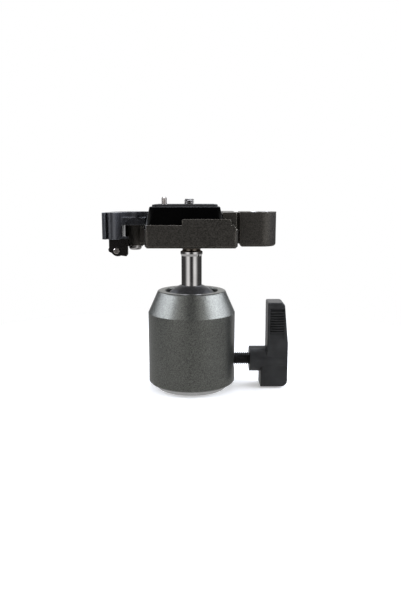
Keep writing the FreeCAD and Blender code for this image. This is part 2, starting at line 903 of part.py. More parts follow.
def coil_spring(label, at, coil, wire, tall, turns):
    """Wound wire spring, upright, with its foot at the given point."""
    made = doc.addObject("Part::Feature", label)
    made.Label = label
    path = Part.makeHelix((tall - wire) / turns, tall - wire, coil)
    half = wire * 0.42
    corners = [
        Vector(coil + x * half, 0, z * half)
        for x, z in ((-1, -1), (1, -1), (1, 1), (-1, 1), (-1, -1))
    ]
    profile = Part.makePolygon(corners)
    made.Shape = Part.Wire(path.Edges).makePipeShell([profile], True, True)
    place = Vector(*[size(item).value for item in at])
    made.Placement = Placement(place + Vector(0, 0, wire / 2), Rotation())
    PARTS.append(made)
    return made


def level_cup():
    """Round metal cup of the bubble level."""
    made = body("level_cup", (S["level_x"], S["level_y"], 0))
    low = S["jaw_z"] - 5.15
    top = S["jaw_z"] - 0.1
    turn(made, "XZ", [
        (0, low),
        (7.4, low),
        (7.4, top),
        (6.2, top),
        (6.0, top - 0.4),
        (6.0, low + 0.8),
        (0, low + 0.8),
    ])
    return made


def level_vial():
    """Domed window of the level."""
    made = body("level_vial", (S["level_x"], S["level_y"], 0))
    low = S["jaw_z"] - 4.3
    top = S["jaw_z"] - 0.4
    wide, rise = 5.95, 0.8
    turn(made, "XZ", [
        (0, low),
        (wide, low),
        (wide, top - rise, (wide * wide + rise * rise) / (2 * rise)),
        (0, top),
    ])
    return made


# Lever and safety catch


def lever():
    """Cast lever: a cam hub over the lug, a flat web and a bulged grip that flares at its end."""
    made = body("lever")
    top, web = S["lever_top"], S["web_low"]
    px, py = S["pivot_x"], S["pivot_y"]
    # Grip bar, seen end on from the front
    grip = sketch(made, "XY", S["grip_low"])
    outline(grip, [
        (px - 6.6, py + 3.0),
        (px - 9.0, py + 5.4, 40.0),
        (px - 14.0, py - 14.0, -30.0),
        (px - 16.7, py - 26.0),
        (px - 14.6, py - 27.6),
        (px - 13.5, py - 24.6, -4.0),
        (px - 11.4, py - 21.4, 9.0),
        (px - 7.0, py - 12.0),
    ])
    extrude(made, grip, top - S["grip_low"])
    # Web over the lug, from the grip to the plate
    web_sketch = sketch(made, "XY", web)
    outline(web_sketch, [
        (px - 8.0, py + 5.0, -9.4),
        (px + 5.0, py + 7.6, -9.4),
        (px + 8.3, py - 3.0, 6.0),
        (px + 2.0, py - 9.0, 14.0),
        (px - 8.0, py - 16.0),
    ])
    extrude(made, web_sketch, top - web)
    # Curved gusset between the grip and the web, in front of the lug
    gusset = sketch(made, "XZ", -(py - 16.0))
    outline(gusset, [
        (px - 9.0, web + 0.5),
        (px - 9.0, web - 4.4),
        (px - 5.4, web - 4.4, -9.0),
        (px + 1.6, web + 0.5),
    ])
    extrude(made, gusset, 7.0, back=True)
    # Hub with the cam that presses on the plate
    hub = sketch(made, "XY", S["lug_top"] + 0.3)
    outline(hub, [
        (px, py - 6.2),
        (px + 6.6, py - 4.4, 7.0),
        (px + 8.1, py, 8.1),
        (px + 4.4, py + 5.0, 6.7),
        (px - 4.4, py + 5.0, 6.7),
        (px - 6.8, py),
        (px - 6.8, py - 6.2),
    ])
    extrude(made, hub, web - S["lug_top"] - 0.2)
    # Blind bore for the pivot screw, and the room for its spring
    cut_up(made, "XY", S["lug_top"], S["lever_top"] - S["lug_top"] - 2.0,
           lambda d: circle(d, px, py, S["pivot_rad"] + S["fit_gap"]))
    cut_up(made, "XY", S["lug_top"], 3.8, lambda d: circle(d, px, py, 5.2))
    # Ears that hold the catch pin
    cx, cz = S["catch_x"], S["catch_z"]
    for start in (-8.0, 5.5):
        ear = sketch(made, "XZ", -(start + 2.5))
        inner = cx + 6.9 if start < 0 else cx + 2.0
        outline(ear, [
            (cx - 4.6, cz + 1.0),
            (cx - 4.2, cz - 0.6),
            (cx - 1.6, cz - 2.5, 2.2) if start < 0 else (cx - 1.2, cz - 2.3),
            (cx + 1.4, cz - 2.8) if start < 0 else (cx + 1.0, cz - 2.3),
            (inner - 1.0, cz - 3.4) if start < 0 else (inner - 0.6, cz - 2.0),
            (inner, cz - 2.2) if start < 0 else (inner, cz - 1.4),
            (inner, S["grip_low"] + 1.0),
            (cx - 4.6, S["grip_low"] + 1.0),
        ])
        extrude(made, ear, 2.5)
    bore = sketch(made, "XZ", 9.0)
    circle(bore, cx, cz, S["catch_rad"] + 0.02)
    extrude(made, bore, 18.0, cut=True)
    # Pocket for the catch spring
    cut_up(made, "XY", S["grip_low"] - 1.0, 2.8,
           lambda d: circle(d, cx - 1.0, 0, 2.1))
    return made


def pivot_screw():
    """Shoulder screw that the lever turns on, put in from below."""
    made = body("pivot_screw", (S["pivot_x"], S["pivot_y"], 0))
    low = S["clamp_low"] - 0.4
    turn(made, "XZ", [
        (0, low - 3.0),
        (2.6, low - 3.0, 1.6),
        (4.0, low - 1.6),
        (4.0, low - 0.75),
        (S["pivot_rad"], low - 0.75),
        (S["pivot_rad"], S["lever_top"] - 2.6),
        (0, S["lever_top"] - 2.6),
    ])
    slot = sketch(made, "XY", low - 3.0)
    rectangle(slot, -4.5, -0.5, 4.5, 0.5)
    extrude(made, slot, 0.9, cut=True, back=True)
    return made


def pivot_washer():
    made = body("pivot_washer", (S["pivot_x"], S["pivot_y"], 0))
    low = S["clamp_low"] - 0.4
    turn(made, "XZ", [
        (S["pivot_rad"] + 0.1, low - 0.72),
        (4.9, low - 0.72),
        (4.9, low - 0.02),
        (S["pivot_rad"] + 0.1, low - 0.02),
    ])
    return made


def safety_catch():
    """Rocking catch between the ears: a thumb tab in front and a nose that meets the lug."""
    made = body("safety_catch", (S["catch_x"], -0.0, S["catch_z"]))
    drawing = sketch(made, "XZ", 5.2)
    outline(drawing, [
        (-3.4, -1.6, 4.2),
        (2.8, -2.8),
        (2.8, 5.2),
        (2.2, 5.8),
        (-2.0, 5.8, -3.0),
        (-4.2, 3.0),
        (-5.6, 0.6),
        (-5.2, -0.8),
    ])
    extrude(made, drawing, 10.4, back=True)
    hole = sketch(made, "XZ", 6.0)
    circle(hole, 0, 0, S["catch_rad"] + S["fit_gap"])
    extrude(made, hole, 12.0, cut=True)
    return made


def catch_pin():
    """Axle of the catch, with a round head in front."""
    made = body("catch_pin", (S["catch_x"], 0, S["catch_z"]))
    turn(made, "YZ", [
        (-8.9, 0),
        (-8.9, S["catch_rad"] + 0.25),
        (-8.6, S["catch_rad"] + 0.6),
        (-8.05, S["catch_rad"] + 0.6),
        (-8.05, S["catch_rad"]),
        (8.2, S["catch_rad"]),
        (8.2, 0),
    ], axis="H_Axis")
    return made


def plate_body():
    """Moulded plate: a tapered block, cored from below, with bosses for the screw and the pin."""
    made = body("plate_body")
    low, tall = S["plate_low"], S["plate_tall"]
    left, right, half = S["plate_left"], S["plate_right"], S["plate_half"]
    corner = 3.0
    block = sketch(made, "XY", low)
    outline(block, [
        (left + corner, -half),
        (right - corner, -half, corner),
        (right, -half + corner),
        (right, half - corner, corner),
        (right - corner, half),
        (left + corner, half, corner),
        (left, half - corner),
        (left, -half + corner, corner),
    ])
    extrude(made, block, tall, taper=-S["plate_slope"])
    soften(made, "Fillet", 0.9, lambda e: level_at(e, (low + tall).value))
    wall = 3.0
    rib = 1.1
    x, video = S["camera_x"], S["video_x"]
    roof = tall - 3.4
    for side in (-1, 1):
        cut_up(made, "XY", low - 0.5, roof + 0.5, lambda d, side=side: outline(d, [
            (x + 10.5, rib * side),
            (right - wall - 2.0, rib * side),
            (right - wall - 2.0, (half - wall - 2.0) * side),
            (left + wall + 2.0, (half - wall - 2.0) * side),
            (left + wall + 2.0, 5.2 * side),
            (video + 4.6, 5.2 * side),
            (x - 8.6, 5.2 * side),
            (x - 4.0, 10.4 * side),
            (x + 4.0, 10.4 * side),
            (x + 10.5, 4.0 * side),
        ]))
    cut_up(made, "XY", low - 0.5, 5.6, lambda d: circle(d, x, 0, S["screw_head"] + 0.5))
    cut_up(made, "XY", low - 0.5, tall + 2.0, lambda d: circle(d, x, 0, S["camera_rad"] + 0.275))
    cut_up(made, "XY", low + tall - 1.0, 2.0, lambda d: circle(d, x, 0, 5.2))
    cut_up(made, "XY", low - 0.5, 8.3, lambda d: circle(d, video, 0, 3.0))
    cut_up(made, "XY", low - 0.5, tall + 2.0,
           lambda d: circle(d, video, 0, S["video_guide"] + S["fit_gap"]))
    return made


def plate_pad():
    """Rubber pad on the plate, open round the screw and the pin."""
    made = body("plate_pad")
    low = S["plate_top"] + 0.02
    draw_in = tangent(S["plate_slope"]) * S["plate_tall"] + 1.3
    left, right = S["plate_left"] + draw_in, S["plate_right"] - draw_in
    half = S["plate_half"] - draw_in
    corner = 2.0
    pad = sketch(made, "XY", low)
    outline(pad, [
        (left + corner, -half),
        (right - corner, -half, corner),
        (right, -half + corner),
        (right, half - corner, corner),
        (right - corner, half),
        (left + corner, half, corner),
        (left, half - corner),
        (left, -half + corner, corner),
    ])
    circle(pad, S["camera_x"], 0, 5.2)
    circle(pad, S["video_x"], 0, 2.6)
    extrude(made, pad, S["pad_thick"])
    return made


def camera_screw():
    """Camera screw: a slotted head under the plate, a waisted shank and the thread on top."""
    made = body("camera_screw", (S["camera_x"], 0, 0))
    low = S["plate_low"] + 1.2
    head = low + 3.0
    rad = S["camera_rad"]
    waist = rad - 0.775
    wide = S["screw_head"]
    top = S["camera_top"]
    neck_low, neck_top = head + 2.0, S["plate_top"] + 0.7
    turn(made, "XZ", [
        (0, low),
        (wide - 0.6, low),
        (wide, low + 0.6),
        (wide, head - 0.4),
        (wide - 0.4, head),
        (rad, head),
        (rad, neck_low),
        (waist, neck_low + 0.8),
        (waist, neck_top - 0.8),
        (rad, neck_top),
        (rad, top - 0.6),
        (rad - 0.6, top),
        (0, top),
    ])
    slot = sketch(made, "XY", low)
    rectangle(slot, -wide - 0.5, -0.7, wide + 0.5, 0.7)
    extrude(made, slot, 1.6, cut=True, back=True)
    return made


def screw_retainer():
    """Split ring on the screw's waist that keeps the screw in the plate."""
    made = body("screw_retainer", (S["camera_x"], 0, 0))
    low = S["plate_top"] - 0.95
    ring = sketch(made, "XY", low)
    circle(ring, 0, 0, 5.0)
    circle(ring, 0, 0, S["camera_rad"] - 0.675)
    extrude(made, ring, 0.7)
    return made


def video_pin():
    """Sprung pin beside the screw, with a collar under the plate's roof."""
    made = body("video_pin", (S["video_x"], 0, 0))
    roof = S["plate_low"] + 7.8
    rad = S["video_rad"]
    guide = S["video_guide"]
    shoulder = S["pad_top"] + 0.1
    top = S["video_top"]
    turn(made, "XZ", [
        (0, roof - 2.4),
        (1.3, roof - 2.4),
        (1.3, roof - 1.1),
        (2.8, roof - 1.1),
        (2.8, roof - 0.1),
        (guide, roof - 0.1),
        (guide, shoulder),
        (rad, shoulder),
        (rad, top - 0.7),
        (rad - 0.7, top),
        (0, top),
    ])
    return made


def video_cap():
    """Plug that closes the pin's bore from below."""
    made = body("video_cap", (S["video_x"], 0, 0))
    low = S["plate_low"] + 0.3
    turn(made, "XZ", [
        (0, low),
        (2.98, low),
        (2.98, low + 0.9),
        (0, low + 0.9),
    ])
    return made


def springs():
    video_foot = S["plate_low"] + 1.22
    coil_spring("video_spring", (S["video_x"], 0, video_foot), 2.2, 0.45, 5.35, 4)
    coil_spring("trigger_spring", (S["trigger_x"], 0, S["clamp_low"] + 1.52), 2.2, 0.45, 4.4, 3)
    coil_spring(
        "lever_spring", (S["pivot_x"], S["pivot_y"], S["lug_top"] + 0.35), 4.4, 0.7, 3.2, 2
    )
    catch_foot = S["catch_z"] + 5.9
    catch_room = (S["grip_low"] + 1.7 - catch_foot).value
    coil_spring("catch_spring", (S["catch_x"] - 1.0, 0, catch_foot), 1.5, 0.4, catch_room, 2)


def build():
    housing()
    seat_ring()
    ball()
    ball_cup()
    friction_spring()
    base_disc()
    thread_insert()
    base_lock_screw()
    knob_bush()
    locking_screw()
    push_wedge()
    lift_piston()
    knob()
    stem()
    stem_washer()
    clamp_bolt()
    clamp_body()
    trigger_pin()
    trigger_plug()
    level_cup()
    level_vial()
    lever()
    pivot_screw()
    pivot_washer()
    safety_catch()
    catch_pin()
    plate_body()
    plate_pad()
    camera_screw()
    screw_retainer()
    video_pin()
    video_cap()
    springs()


def write_parts():
    """Checks every object, then writes one file for each sub-part."""
    doc.recompute()
    for item in doc.Objects:
        if "Invalid" in item.State or "Error" in item.State:
            raise RuntimeError(f"{item.Label} failed: {item.State}")
    os.makedirs("parts", exist_ok=True)
    for item in PARTS:
        shape = item.Shape
        if shape.isNull() or not shape.isValid():
            raise RuntimeError(f"{item.Label} has no valid shape")
        shape.exportStep(f"parts/{item.Label}.step")
        print(item.Label, len(shape.Solids), round(shape.Volume, 2))


build()
write_parts()
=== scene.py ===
import json
import math

import bmesh
import bpy
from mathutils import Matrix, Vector


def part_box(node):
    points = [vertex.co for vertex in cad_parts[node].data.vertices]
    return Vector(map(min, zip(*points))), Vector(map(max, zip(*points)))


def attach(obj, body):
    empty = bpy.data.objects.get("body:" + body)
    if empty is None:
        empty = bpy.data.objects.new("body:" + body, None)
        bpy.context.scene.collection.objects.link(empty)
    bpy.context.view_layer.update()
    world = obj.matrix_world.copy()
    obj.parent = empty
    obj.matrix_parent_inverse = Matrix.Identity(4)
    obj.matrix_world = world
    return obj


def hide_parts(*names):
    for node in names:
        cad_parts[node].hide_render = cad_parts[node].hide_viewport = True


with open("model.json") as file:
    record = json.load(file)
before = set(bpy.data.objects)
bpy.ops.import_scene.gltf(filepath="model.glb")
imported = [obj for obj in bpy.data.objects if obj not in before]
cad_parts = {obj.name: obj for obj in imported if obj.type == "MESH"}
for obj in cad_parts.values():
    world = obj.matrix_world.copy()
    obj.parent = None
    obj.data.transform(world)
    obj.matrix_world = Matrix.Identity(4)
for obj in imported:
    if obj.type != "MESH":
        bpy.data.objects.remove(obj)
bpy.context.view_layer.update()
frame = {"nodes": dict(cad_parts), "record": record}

MM = 0.001
NODES = frame["nodes"]
SUBPARTS = {part["node"]: part for part in frame["record"]["subparts"]}
BODY_OF = {
    node: body
    for body, nodes in frame["record"]["behaviour"]["bodies"].items()
    for node in nodes
}


def link(thing):
    bpy.context.scene.collection.objects.link(thing)
    return thing


# Camera: fitted to the housing's ellipses in the photograph

CAMERA_PLACE = Vector((5.615, -369.65, 121.02)) * MM
CAMERA_PITCH = 0.175
CAMERA_LENS = 35.36
SENSOR = 36.0
CLIP_START = 0.01


def make_camera():
    data = bpy.data.cameras.new("camera")
    data.lens = CAMERA_LENS
    data.sensor_width = SENSOR
    data.clip_start = CLIP_START
    camera = link(bpy.data.objects.new("camera", data))
    camera.location = CAMERA_PLACE
    camera.rotation_euler = (math.pi / 2 - CAMERA_PITCH, 0, 0)
    bpy.context.scene.camera = camera


# Node helpers

WHITE = (1.0, 1.0, 1.0)
BUMP_SAMPLES = 4
MASK_SAMPLES = 6
MASK_RANGE = (0.72, 0.97)


def new_material(name):
    made = bpy.data.materials.new(name)
    made.use_nodes = True
    tree = made.node_tree
    return made, tree, tree.nodes["Principled BSDF"]


def feed(tree, socket, value):
    """Links an output into a socket, or sets the socket to a plain value."""
    if isinstance(value, bpy.types.NodeSocket):
        tree.links.new(value, socket)
    else:
        socket.default_value = value


def add(tree, kind, **inputs):
    """A node whose named inputs are fed: Base_Color stands for Base Color."""
    node = tree.nodes.new(kind)
    for key, value in inputs.items():
        feed(tree, node.inputs[key.replace("_", " ")], value)
    return node


def place_vector(tree):
    return tree.nodes.new("ShaderNodeTexCoord").outputs["Object"]


def noise(tree, vector, scale, detail=4.0, rough=0.5):
    node = add(tree, "ShaderNodeTexNoise", Vector=vector, Scale=scale, Detail=detail,
               Roughness=rough)
    return node.outputs["Fac"]


def ramp(tree, source, stops):
    """A colour ramp from positions and colours."""
    node = add(tree, "ShaderNodeValToRGB", Fac=source)
    points = node.color_ramp.elements
    while len(points) < len(stops):
        points.new(0.5)
    for point, (position, colour) in zip(points, stops):
        point.position = position
        point.color = (*colour, 1.0)
    return node.outputs["Color"]


def spread(tree, source, low, high, source_low=0.0, source_high=1.0):
    """Source, moved from one range to another and kept within it."""
    node = add(tree, "ShaderNodeMapRange", Value=source, From_Min=source_low, From_Max=source_high,
               To_Min=low, To_Max=high)
    return node.outputs["Result"]


def calculate(tree, operation, first, second):
    node = tree.nodes.new("ShaderNodeMath")
    node.operation = operation
    feed(tree, node.inputs[0], first)
    feed(tree, node.inputs[1], second)
    return node.outputs["Value"]


def vector_node(tree, operation, *sources):
    node = tree.nodes.new("ShaderNodeVectorMath")
    node.operation = operation
    for socket, source in zip(node.inputs, sources):
        feed(tree, socket, source)
    return node.outputs


def mixed(tree, factor, first, second, how="MIX"):
    node = add(tree, "ShaderNodeMixRGB", Fac=factor, Color1=first, Color2=second)
    node.blend_type = how
    return node.outputs["Color"]


def rounded_normal(tree, radius, samples):
    edge = add(tree, "ShaderNodeBevel", Radius=radius)
    edge.samples = samples
    return edge.outputs["Normal"]


def bump(tree, shader, height, strength, distance, round_edges):
    node = add(tree, "ShaderNodeBump", Height=height, Strength=strength, Distance=distance)
    if round_edges:
        feed(tree, node.inputs["Normal"], rounded_normal(tree, round_edges, BUMP_SAMPLES))
    feed(tree, shader.inputs["Normal"], node.outputs["Normal"])


def edge_mask(tree, radius):
    """Near 1 on edges and corners, 0 on open faces."""
    flat = tree.nodes.new("ShaderNodeNewGeometry").outputs["Normal"]
    rounded = rounded_normal(tree, radius, MASK_SAMPLES)
    likeness = vector_node(tree, "DOT_PRODUCT", rounded, flat)["Value"]
    return spread(tree, likeness, 1.0, 0.0, *MASK_RANGE)


def grey(level, tint=WHITE):
    return tuple(level * part for part in tint)


# Materials. Scales are per metre. In metres are grain, the depth of the surface, edge, the radius
# that edges are rounded to in the shading, and shade_heights, the heights of a band of painted shade.

NICKEL = (1.0, 0.97, 0.95)
WINDOW_GREEN = (0.7, 0.9, 0.25)
FLECK_BANDS = (0.35, 0.62)
CLOUD_BANDS = (0.3, 0.7)
PAINT_CLOUDS = 90.0
METAL_CLOUDS = 160.0
PLASTIC_CLOUDS = 120.0
GLASS_CLOUDS = 200.0
CLOUD_SHARE = 0.12
CLOUD_SHADE = 0.6
CLOUD_SHADE_METAL = 0.88
# Grey that edges are lightened towards: partly worn paint, partly a painted highlight of the lit edges
WORN_AND_LIT_LEVEL = 0.5

# Each paint lightens its edges by its wear value: partly worn paint, partly painted highlight
PAINTS = {
    "gunmetal_paint": dict(dark=0.08, light=0.23, metallic=0.88, rough=0.34, fleck_scale=2200.0,
                           grain=8e-5, edge=0.0004, edge_wear_and_highlight=0.5, tint=(0.985, 1.0, 0.91)),
    "cast_paint": dict(dark=0.035, light=0.115, metallic=0.8, rough=0.36, fleck_scale=2100.0,
                       grain=9e-5, edge=0.0005, edge_wear_and_highlight=0.9, tint=(1.0, 0.92, 0.8)),
    # The lever is painted darker below its grip: painted shade under the grip bar
    "lever_paint": dict(dark=0.09, light=0.125, metallic=0.72, rough=0.27, fleck_scale=2200.0,
                        grain=3e-5, edge=0.0005, edge_wear_and_highlight=0.7, tint=(0.95, 0.97, 1.06),
                        shade_heights=(0.08, 0.0957)),
    "catch_paint": dict(dark=0.015, light=0.04, metallic=0.5, rough=0.3, fleck_scale=1800.0,
                        grain=5e-5, edge=0.0004, edge_wear_and_highlight=0.5),
    "ball_coating": dict(dark=0.09, light=0.17, metallic=0.8, rough=0.36, fleck_scale=2000.0,
                         grain=3e-5, edge=0.0002, edge_wear_and_highlight=0.2),
}
METALS = {
    # The chrome neck under the clamp gets a dark band: a painted reflection of the dark clamp above it
    "polished_chrome": dict(colour=grey(0.74, (1.0, 0.98, 0.97)), rough=0.06, line_scale=1500.0,
                            grain=2e-6, shade_heights=(0.0869, 0.092)),
    "turned_aluminium": dict(colour=grey(0.7), rough=0.2, line_scale=900.0, grain=1e-5,
                             edge=0.0003),
    "level_metal": dict(colour=grey(0.7), rough=0.25, line_scale=900.0, grain=1e-5, edge=0.0002),
    "plain_steel": dict(colour=grey(0.62, NICKEL), rough=0.25, grain=6e-6, edge=0.0002),
    "screw_steel": dict(colour=grey(0.3, (1.0, 0.97, 0.94)), rough=0.16, grain=6e-6),
    "spring_steel": dict(colour=grey(0.5), rough=0.3, grain=4e-6),
    "black_steel": dict(colour=grey(0.1), rough=0.22, grain=6e-6, edge=0.0001),
    "brass": dict(colour=(0.62, 0.57, 0.54), rough=0.2, grain=6e-6, edge=0.0002),
}
PLASTICS = {
    "knob_plastic": dict(dark=0.017, light=0.03, rough=0.34, grain_scale=2200.0, grain=4e-5,
                         edge=0.0004, shine=0.36),
    "plate_plastic": dict(dark=0.0006, light=0.001, rough=0.14, grain_scale=2500.0, grain=4e-6,
                          edge=0.0006, shine=0.22),
    "black_nylon": dict(dark=0.02, light=0.03, rough=0.45, grain_scale=2000.0, grain=1e-5,
                        edge=0.0002),
    "fibre": dict(dark=0.06, light=0.09, rough=0.7, grain_scale=2500.0, grain=3e-5, edge=0.0002,
                  tint=(1.0, 0.85, 0.7)),
    "pad_rubber": dict(dark=0.012, light=0.018, rough=0.6, grain_scale=2200.0, grain=3e-5,
                       edge=0.0003),
}

# Pieces that are darker than the others of their slot
DARKER = {"safety_catch": "catch_paint", "camera_screw": "screw_steel"}

# Painted shade: the brownish dark that a band between two heights is multiplied by, under the lever's
# grip and on the chrome neck below the clamp
PAINTED_SHADE_COLOUR = (0.22, 0.19, 0.16, 1.0)
PAINTED_SHADE_SOFTNESS = 0.0004


def bands(tree, source, low, high, stops=CLOUD_BANDS):
    """One colour below the first stop, another above the second, and a blend between them."""
    return ramp(tree, source, list(zip(stops, (low, high))))


def painted_shade_band(tree, vector, colour, shade_heights):
    """The colour with painted shade, much darker between two heights in metres. Without them it stays
    as it is.
    """
    if not shade_heights:
        return colour
    low, high = shade_heights
    height = add(tree, "ShaderNodeSeparateXYZ", Vector=vector).outputs["Z"]
    above = spread(tree, height, 0.0, 1.0, low, low + PAINTED_SHADE_SOFTNESS)
    below = spread(tree, height, 1.0, 0.0, high - PAINTED_SHADE_SOFTNESS, high)
    painted_shade_mask = calculate(tree, "MULTIPLY", above, below)
    return mixed(tree, painted_shade_mask, colour, PAINTED_SHADE_COLOUR, "MULTIPLY")


def painted(name, dark, light, metallic, rough, fleck_scale, grain, edge, edge_wear_and_highlight, tint=WHITE,
            shade_heights=None):
    """Satin paint: fleck in its colour, a little variation in its gloss, and a fine grain."""
    made, tree, shader = new_material(name)
    vector = place_vector(tree)
    fleck = noise(tree, vector, fleck_scale, detail=2.0, rough=0.7)
    cloud = noise(tree, vector, PAINT_CLOUDS, detail=3.0)
    colour = bands(tree, fleck, grey(dark, tint), grey(light, tint), FLECK_BANDS)
    shade = bands(tree, cloud, grey(CLOUD_SHADE), WHITE)
    colour = mixed(tree, CLOUD_SHARE, colour, shade, "MULTIPLY")
    # Edges and corners, hollow ones too, are painted lighter: partly wear, partly a painted highlight
    worn_and_lit_edges = spread(tree, edge_mask(tree, edge), 0.0, edge_wear_and_highlight)
    colour = mixed(tree, worn_and_lit_edges, colour, (*grey(WORN_AND_LIT_LEVEL, tint), 1.0))
    # When two heights are given, the band between them is painted shade
    feed(tree, shader.inputs["Base Color"], painted_shade_band(tree, vector, colour, shade_heights))
    feed(tree, shader.inputs["Metallic"], metallic)
    feed(tree, shader.inputs["Roughness"], spread(tree, fleck, rough - 0.06, rough + 0.08))
    bump(tree, shader, fleck, strength=0.35, distance=grain, round_edges=edge)
    return made


def turned_metal(name, colour, rough, grain, line_scale=1200.0, edge=0.0, shade_heights=None):
    """Bare metal with fine rings round the Z axis."""
    made, tree, shader = new_material(name)
    vector = place_vector(tree)
    rings = add(tree, "ShaderNodeTexWave", Vector=vector, Scale=line_scale, Distortion=0.6,
                Detail=1.0)
    rings.wave_type = "RINGS"
    rings.rings_direction = "Z"
    cloud = noise(tree, vector, METAL_CLOUDS)
    shade = bands(tree, cloud, grey(CLOUD_SHADE_METAL, colour), colour)
    # When two heights are given, the band between them is painted shade
    feed(tree, shader.inputs["Base Color"], painted_shade_band(tree, vector, shade, shade_heights))
    feed(tree, shader.inputs["Metallic"], 1.0)
    feed(tree, shader.inputs["Roughness"], spread(tree, cloud, rough, rough + 0.08))
    bump(tree, shader, rings.outputs["Fac"], strength=0.2, distance=grain, round_edges=edge)
    return made


def plastic(name, dark, light, rough, grain_scale, grain, edge, tint=WHITE, shine=0.5):
    """Moulded plastic: fine spark grain and slight change of gloss."""
    made, tree, shader = new_material(name)
    vector = place_vector(tree)
    fine = noise(tree, vector, grain_scale, detail=3.0, rough=0.6)
    cloud = noise(tree, vector, PLASTIC_CLOUDS, detail=2.0)
    colour = bands(tree, cloud, grey(dark, tint), grey(light, tint))
    feed(tree, shader.inputs["Base Color"], colour)
    feed(tree, shader.inputs["Roughness"], spread(tree, fine, rough - 0.05, rough + 0.07))
    feed(tree, shader.inputs["Specular IOR Level"], shine)
    bump(tree, shader, fine, strength=0.4, distance=grain, round_edges=edge)
    return made


def tinted_glass(name, colour):
    made, tree, shader = new_material(name)
    cloud = noise(tree, place_vector(tree), GLASS_CLOUDS)
    feed(tree, shader.inputs["Roughness"], spread(tree, cloud, 0.02, 0.07))
    feed(tree, shader.inputs["Base Color"], (*colour, 1.0))
    feed(tree, shader.inputs["Transmission Weight"], 0.9)
    feed(tree, shader.inputs["IOR"], 1.45)
    return made


def make_materials():
    made = {}
    for maker, table in ((painted, PAINTS), (turned_metal, METALS), (plastic, PLASTICS)):
        for name, values in table.items():
            made[name] = maker(name, **values)
    made["level_window"] = tinted_glass("level_window", WINDOW_GREEN)
    return made


def finish_for(node, materials):
    return materials[DARKER.get(node, SUBPARTS[node]["material_slot"])]


def dress_nodes(materials):
    for name in SUBPARTS:
        slots = NODES[name].data.materials
        slots.clear()
        slots.append(finish_for(name, materials))


# Stage and light

FLOOR_REACH = 0.36
FLOOR_SPOKES = 64
PAPER_CLOUDS = 30.0
PAPER_SHADES = (0.84, 0.88)
FLOOR_GLOW = 0.35
FLOOR_FADE = (0.10, 0.26)
MIRROR_GLOW = 0.45
LAMP_COLOUR = (0.86, 0.9, 1.0)
LAMP_TARGET = Vector((0, 0, 0.06))

# Name, azimuth in degrees, then height, distance, width and tallness in metres, and power in watts
LAMPS = [
    ("key_right", 92, 0.36, 0.50, 0.74, 0.30, 4.8),
    ("key_left", -94, 0.36, 0.50, 0.70, 0.30, 3.8),
    ("top", 180, 0.75, 0.12, 0.5, 0.4, 3.0),
]

# Brightness of the room, by how far a direction turns from the back to the camera side
ROOM = [
    (0.0, 1.0), (0.012, 0.7), (0.05, 0.18), (0.12, 0.05), (0.55, 0.05),
    (0.66, 0.10), (0.76, 0.45), (0.88, 0.95), (0.95, 0.8), (0.985, 0.12), (1.0, 0.03),
]


def seen_directly(tree):
    """1 for rays of the camera and through glass, 0 for all others."""
    path = tree.nodes.new("ShaderNodeLightPath").outputs
    return calculate(tree, "MAXIMUM", path["Is Camera Ray"], path["Is Transmission Ray"])


def mix_shaders(tree, factor, first, second):
    node = add(tree, "ShaderNodeMixShader", Fac=factor)
    tree.links.new(first, node.inputs[1])
    tree.links.new(second, node.inputs[2])
    return node.outputs["Shader"]


def glow(tree, strength):
    return add(tree, "ShaderNodeEmission", Strength=strength).outputs["Emission"]


def floor_paper():
    """Paper: lit near the object, plain white further out, and grey in mirrors."""
    made, tree, shader = new_material("floor_paper")
    vector = place_vector(tree)
    cloud = noise(tree, vector, PAPER_CLOUDS)
    feed(tree, shader.inputs["Base Color"], bands(tree, cloud, *map(grey, PAPER_SHADES)))
    feed(tree, shader.inputs["Roughness"], 0.9)
    feed(tree, shader.inputs["Specular IOR Level"], 0.1)
    paper = shader.outputs["BSDF"]
    lit = tree.nodes.new("ShaderNodeAddShader")
    tree.links.new(paper, lit.inputs[0])
    tree.links.new(glow(tree, FLOOR_GLOW), lit.inputs[1])
    away = vector_node(tree, "LENGTH", vector)["Value"]
    fade = spread(tree, away, 0.0, 1.0, *FLOOR_FADE)
    seen = mix_shaders(tree, fade, lit.outputs["Shader"], glow(tree, 1.0))
    mirrored = tree.nodes.new("ShaderNodeLightPath").outputs["Is Glossy Ray"]
    unseen = mix_shaders(tree, mirrored, paper, glow(tree, MIRROR_GLOW))
    shown = mix_shaders(tree, seen_directly(tree), unseen, seen)
    tree.links.new(shown, tree.nodes["Material Output"].inputs["Surface"])
    return made


def make_floor():
    grid = bmesh.new()
    bmesh.ops.create_circle(grid, cap_ends=True, segments=FLOOR_SPOKES, radius=FLOOR_REACH)
    mesh = bpy.data.meshes.new("floor")
    grid.to_mesh(mesh)
    grid.free()
    mesh.materials.append(floor_paper())
    floor = link(bpy.data.objects.new("floor", mesh))


def soft_box(name, azimuth, height, distance, width, tall, power):
    """A lamp that faces the object: azimuth 0 is in front of it, 90 on its right."""
    turn = math.radians(azimuth)
    data = bpy.data.lights.new(name, "AREA")
    data.shape = "RECTANGLE"
    data.size = width
    data.size_y = tall
    data.energy = power
    data.color = LAMP_COLOUR
    lamp = link(bpy.data.objects.new(name, data))
    lamp.location = Vector((math.sin(turn) * distance, -math.cos(turn) * distance, height))
    lamp.rotation_euler = (LAMP_TARGET - lamp.location).to_track_quat("-Z", "Y").to_euler()


def make_lights():
    for lamp in LAMPS:
        soft_box(*lamp)


